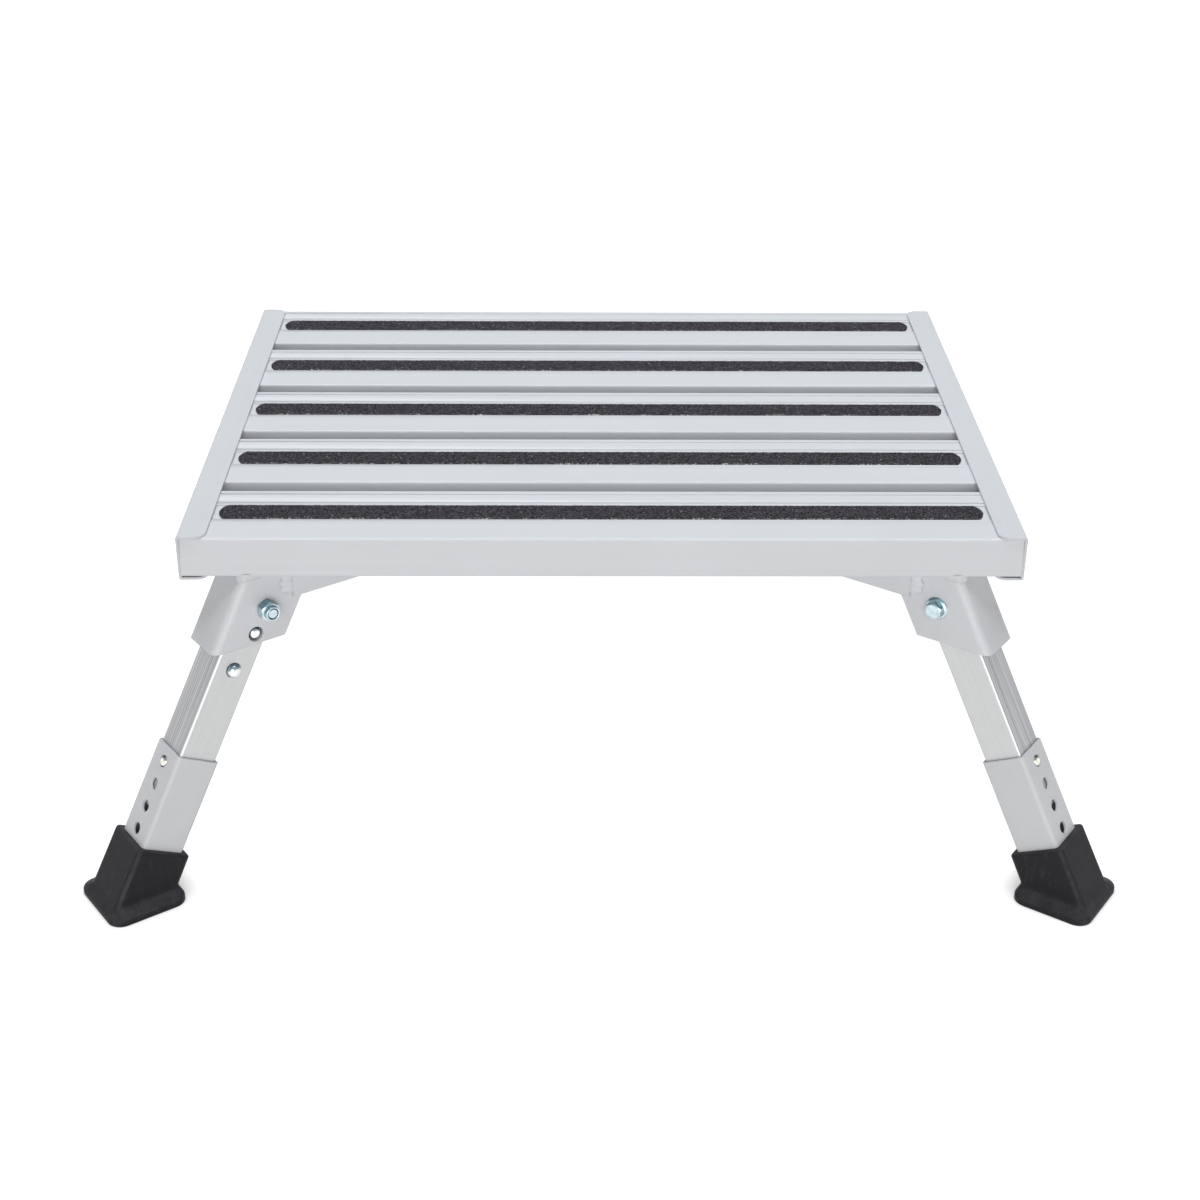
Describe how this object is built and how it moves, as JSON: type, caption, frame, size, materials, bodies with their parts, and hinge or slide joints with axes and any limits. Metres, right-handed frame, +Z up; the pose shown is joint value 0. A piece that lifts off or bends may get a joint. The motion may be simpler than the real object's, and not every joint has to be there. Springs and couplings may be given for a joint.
{
  "type": "folding caravan entry step",
  "caption": "Folding entry step: slatted metal deck with grip strips on splayed telescopic square-tube legs with rubber boots, which fold flat under the deck.",
  "frame": {"origin": "on the floor, under the middle of the deck", "axes": "+Z up, +X along the slats, the front edge of the deck towards -Y"},
  "size_m": [0.6222, 0.502, 0.222],
  "materials": {
    "deck_paint": "pale grey satin paint on extruded aluminium",
    "frame_paint": "light grey satin paint on aluminium sheet and bar",
    "leg_paint": "grey satin paint on square aluminium tube",
    "bare_tube": "bare extruded aluminium with fine lengthwise lines",
    "zinc": "bright zinc plate",
    "button_plate": "bright nickel plate",
    "spring_steel": "spring steel strip",
    "nylon": "natural nylon",
    "grip_grit": "black mineral grit on film",
    "boot_rubber": "moulded black rubber, matt"
  },
  "bodies": {
    "deck": {"slat_1": "deck_paint", "grip_strip_1": "grip_grit", "slat_2": "deck_paint", "grip_strip_2": "grip_grit", "slat_3": "deck_paint", "grip_strip_3": "grip_grit", "slat_4": "deck_paint", "grip_strip_4": "grip_grit", "slat_5": "deck_paint", "grip_strip_5": "grip_grit", "end_channel_left": "frame_paint", "end_channel_right": "frame_paint", "leg_bracket_front_left": "frame_paint", "gusset_bars_front_left": "frame_paint", "leg_bracket_front_right": "frame_paint", "gusset_bars_front_right": "frame_paint", "leg_bracket_rear_right": "frame_paint", "gusset_bars_rear_right": "frame_paint", "leg_bracket_rear_left": "frame_paint", "gusset_bars_rear_left": "frame_paint", "pivot_bolts": "zinc", "pivot_washers": "zinc", "pivot_nuts": "zinc", "pivot_spacers": "nylon"},
    "leg_front_left": {"upper_leg_front_left": "bare_tube", "fold_spring_front_left": "spring_steel", "height_spring_front_left": "spring_steel"},
    "lower_front_left": {"lower_leg_front_left": "leg_paint", "rubber_foot_front_left": "boot_rubber"},
    "fold_lock_front_left": {"fold_buttons_front_left": "button_plate"},
    "height_lock_front_left": {"height_button_front_left": "button_plate"},
    "leg_front_right": {"upper_leg_front_right": "bare_tube", "fold_spring_front_right": "spring_steel", "height_spring_front_right": "spring_steel"},
    "lower_front_right": {"lower_leg_front_right": "leg_paint", "rubber_foot_front_right": "boot_rubber"},
    "fold_lock_front_right": {"fold_buttons_front_right": "button_plate"},
    "height_lock_front_right": {"height_button_front_right": "button_plate"},
    "leg_rear_right": {"upper_leg_rear_right": "bare_tube", "fold_spring_rear_right": "spring_steel", "height_spring_rear_right": "spring_steel"},
    "lower_rear_right": {"lower_leg_rear_right": "leg_paint", "rubber_foot_rear_right": "boot_rubber"},
    "fold_lock_rear_right": {"fold_buttons_rear_right": "button_plate"},
    "height_lock_rear_right": {"height_button_rear_right": "button_plate"},
    "leg_rear_left": {"upper_leg_rear_left": "bare_tube", "fold_spring_rear_left": "spring_steel", "height_spring_rear_left": "spring_steel"},
    "lower_rear_left": {"lower_leg_rear_left": "leg_paint", "rubber_foot_rear_left": "boot_rubber"},
    "fold_lock_rear_left": {"fold_buttons_rear_left": "button_plate"},
    "height_lock_rear_left": {"height_button_rear_left": "button_plate"}
  },
  "joints": [
    {"name": "fold_front_left", "type": "hinge", "parent": "deck", "child": "leg_front_left", "pos_m": [-0.2033, -0.16525, 0.174], "axis": [0.5779, -0.8161, 0], "range_deg": [0, 118.4], "deforming": ["fold_spring_front_left", "fold_buttons_front_left"]},
    {"name": "height_front_left", "type": "slide", "parent": "leg_front_left", "child": "lower_front_left", "axis": [0.3882, 0.2748, 0.8796], "range_m": [0, 0.04455], "deforming": ["height_spring_front_left", "height_button_front_left"]},
    {"name": "fold_press_front_left", "type": "slide", "parent": "leg_front_left", "child": "fold_lock_front_left", "axis": [-0.5779, 0.8161, 0], "range_m": [0, 0.003], "stiffness_N_per_m": 3000},
    {"name": "height_press_front_left", "type": "slide", "parent": "leg_front_left", "child": "height_lock_front_left", "axis": [0.7179, 0.5083, -0.4756], "range_m": [0, 0.0023], "stiffness_N_per_m": 3000},
    {"name": "fold_front_right", "type": "hinge", "parent": "deck", "child": "leg_front_right", "pos_m": [0.2033, -0.16525, 0.174], "axis": [0.5779, 0.8161, 0], "range_deg": [0, 118.4], "deforming": ["fold_spring_front_right", "fold_buttons_front_right"]},
    {"name": "height_front_right", "type": "slide", "parent": "leg_front_right", "child": "lower_front_right", "axis": [-0.3882, 0.2748, 0.8796], "range_m": [0, 0.04455], "deforming": ["height_spring_front_right", "height_button_front_right"]},
    {"name": "fold_press_front_right", "type": "slide", "parent": "leg_front_right", "child": "fold_lock_front_right", "axis": [-0.5779, -0.8161, 0], "range_m": [0, 0.003], "stiffness_N_per_m": 3000},
    {"name": "height_press_front_right", "type": "slide", "parent": "leg_front_right", "child": "height_lock_front_right", "axis": [-0.7179, 0.5083, -0.4756], "range_m": [0, 0.0023], "stiffness_N_per_m": 3000},
    {"name": "fold_rear_right", "type": "hinge", "parent": "deck", "child": "leg_rear_right", "pos_m": [0.2033, 0.16525, 0.174], "axis": [-0.5779, 0.8161, 0], "range_deg": [0, 118.4], "deforming": ["fold_spring_rear_right", "fold_buttons_rear_right"]},
    {"name": "height_rear_right", "type": "slide", "parent": "leg_rear_right", "child": "lower_rear_right", "axis": [-0.3882, -0.2748, 0.8796], "range_m": [0, 0.04455], "deforming": ["height_spring_rear_right", "height_button_rear_right"]},
    {"name": "fold_press_rear_right", "type": "slide", "parent": "leg_rear_right", "child": "fold_lock_rear_right", "axis": [0.5779, -0.8161, 0], "range_m": [0, 0.003], "stiffness_N_per_m": 3000},
    {"name": "height_press_rear_right", "type": "slide", "parent": "leg_rear_right", "child": "height_lock_rear_right", "axis": [-0.7179, -0.5083, -0.4756], "range_m": [0, 0.0023], "stiffness_N_per_m": 3000},
    {"name": "fold_rear_left", "type": "hinge", "parent": "deck", "child": "leg_rear_left", "pos_m": [-0.2033, 0.16525, 0.174], "axis": [-0.5779, -0.8161, 0], "range_deg": [0, 118.4], "deforming": ["fold_spring_rear_left", "fold_buttons_rear_left"]},
    {"name": "height_rear_left", "type": "slide", "parent": "leg_rear_left", "child": "lower_rear_left", "axis": [0.3882, -0.2748, 0.8796], "range_m": [0, 0.04455], "deforming": ["height_spring_rear_left", "height_button_rear_left"]},
    {"name": "fold_press_rear_left", "type": "slide", "parent": "leg_rear_left", "child": "fold_lock_rear_left", "axis": [0.5779, 0.8161, 0], "range_m": [0, 0.003], "stiffness_N_per_m": 3000},
    {"name": "height_press_rear_left", "type": "slide", "parent": "leg_rear_left", "child": "height_lock_rear_left", "axis": [0.7179, -0.5083, -0.4756], "range_m": [0, 0.0023], "stiffness_N_per_m": 3000}
  ]
}
